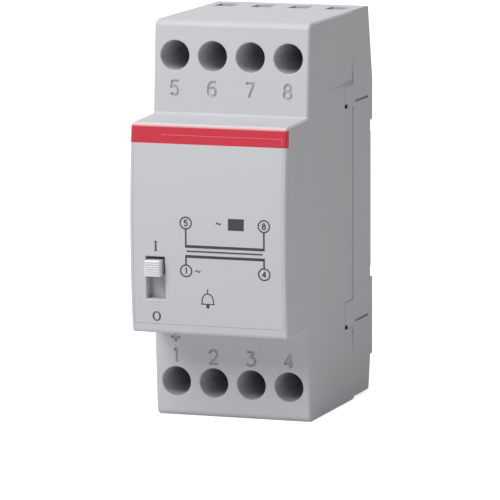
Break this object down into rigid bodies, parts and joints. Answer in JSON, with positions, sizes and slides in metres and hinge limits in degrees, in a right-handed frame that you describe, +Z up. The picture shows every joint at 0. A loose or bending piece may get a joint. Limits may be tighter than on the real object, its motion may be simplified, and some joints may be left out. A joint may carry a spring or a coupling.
{
  "type": "doorbell transformer",
  "caption": "Rail-mounted bell transformer, two modules wide, with slide switch, screw terminals at both ends and a sprung rail latch.",
  "frame": {"origin": "centre of the seat for the 35 mm rail, on the rail's front face", "axes": "+X to the right seen from the front, +Y back towards the rail, +Z up"},
  "size_m": [0.035, 0.0639, 0.086],
  "materials": {
    "housing_grey": "fine matt texture",
    "band_red": "satin",
    "film_grey": "printed film",
    "button_white": "satin",
    "switch_black": "matt",
    "core_steel": "stacked sheets",
    "strap_steel": "zinc plated",
    "bobbin_plastic": "glass filled",
    "winding_copper": "enamelled copper wire",
    "tape_yellow": "polyester tape",
    "cutout_black": "sleeved cutout",
    "contact_brass": "tinned brass",
    "cage_steel": "zinc plated",
    "screw_steel": "nickel plated",
    "lead_brown": "insulated lead",
    "lead_blue": "insulated lead",
    "lead_white": "insulated lead",
    "clip_grey": "moulded latch",
    "spring_steel": "spring wire"
  },
  "bodies": {
    "case": {"front_shell": "housing_grey", "rear_base": "housing_grey", "front_band": "band_red", "front_label": "film_grey", "switch_body": "switch_black", "switch_contacts": "contact_brass", "core_e_stack": "core_steel", "core_i_stack": "core_steel", "core_strap": "strap_steel", "bobbin": "bobbin_plastic", "primary_winding": "winding_copper", "secondary_winding": "winding_copper", "primary_tape": "tape_yellow", "secondary_tape": "tape_yellow", "thermal_cutout": "cutout_black", "lead_1_to_switch": "lead_brown", "lead_switch_to_cutout": "lead_brown", "lead_coil_to_4": "lead_blue", "lead_coil_to_5": "lead_white", "lead_coil_to_8": "lead_white", "clip_spring": "spring_steel", "terminal_tongue_1": "contact_brass", "terminal_tongue_4": "contact_brass", "terminal_tongue_5": "contact_brass", "terminal_tongue_8": "contact_brass"},
    "switch": {"switch_button": "button_white", "switch_bridge": "contact_brass"},
    "rail_latch": {"rail_clip": "clip_grey"},
    "screw_1": {"terminal_screw_1": "screw_steel"},
    "cage_1": {"clamp_cage_1": "cage_steel"},
    "screw_4": {"terminal_screw_4": "screw_steel"},
    "cage_4": {"clamp_cage_4": "cage_steel"},
    "screw_5": {"terminal_screw_5": "screw_steel"},
    "cage_5": {"clamp_cage_5": "cage_steel"},
    "screw_8": {"terminal_screw_8": "screw_steel"},
    "cage_8": {"clamp_cage_8": "cage_steel"}
  },
  "joints": [
    {"name": "switch_slide", "type": "slide", "parent": "case", "child": "switch", "axis": [0, 0, -1], "range_m": [0, 0.0045]},
    {"name": "rail_latch_slide", "type": "slide", "parent": "case", "child": "rail_latch", "axis": [0, 0, -1], "range_m": [0, 0.003], "stiffness_N_per_m": 400, "springref_m": -0.003, "deforming": ["clip_spring"]},
    {"name": "screw_turn_1", "type": "hinge", "parent": "case", "child": "screw_1", "pos_m": [-0.01281, -0.02, -0.0354], "axis": [0, 1, 0], "range_deg": [0, 2160]},
    {"name": "cage_lift_1", "type": "slide", "parent": "case", "child": "cage_1", "axis": [0, -1, 0], "range_m": [0, 0.0036]},
    {"name": "screw_turn_4", "type": "hinge", "parent": "case", "child": "screw_4", "pos_m": [0.01281, -0.02, -0.0354], "axis": [0, 1, 0], "range_deg": [0, 2160]},
    {"name": "cage_lift_4", "type": "slide", "parent": "case", "child": "cage_4", "axis": [0, -1, 0], "range_m": [0, 0.0036]},
    {"name": "screw_turn_5", "type": "hinge", "parent": "case", "child": "screw_5", "pos_m": [-0.01281, -0.02, 0.0354], "axis": [0, 1, 0], "range_deg": [0, 2160]},
    {"name": "cage_lift_5", "type": "slide", "parent": "case", "child": "cage_5", "axis": [0, -1, 0], "range_m": [0, 0.0036]},
    {"name": "screw_turn_8", "type": "hinge", "parent": "case", "child": "screw_8", "pos_m": [0.01281, -0.02, 0.0354], "axis": [0, 1, 0], "range_deg": [0, 2160]},
    {"name": "cage_lift_8", "type": "slide", "parent": "case", "child": "cage_8", "axis": [0, -1, 0], "range_m": [0, 0.0036]}
  ],
  "couplings": [
    {"joint": "screw_turn_1", "follows": "cage_lift_1", "rad_per_m": 10472},
    {"joint": "screw_turn_4", "follows": "cage_lift_4", "rad_per_m": 10472},
    {"joint": "screw_turn_5", "follows": "cage_lift_5", "rad_per_m": 10472},
    {"joint": "screw_turn_8", "follows": "cage_lift_8", "rad_per_m": 10472}
  ]
}
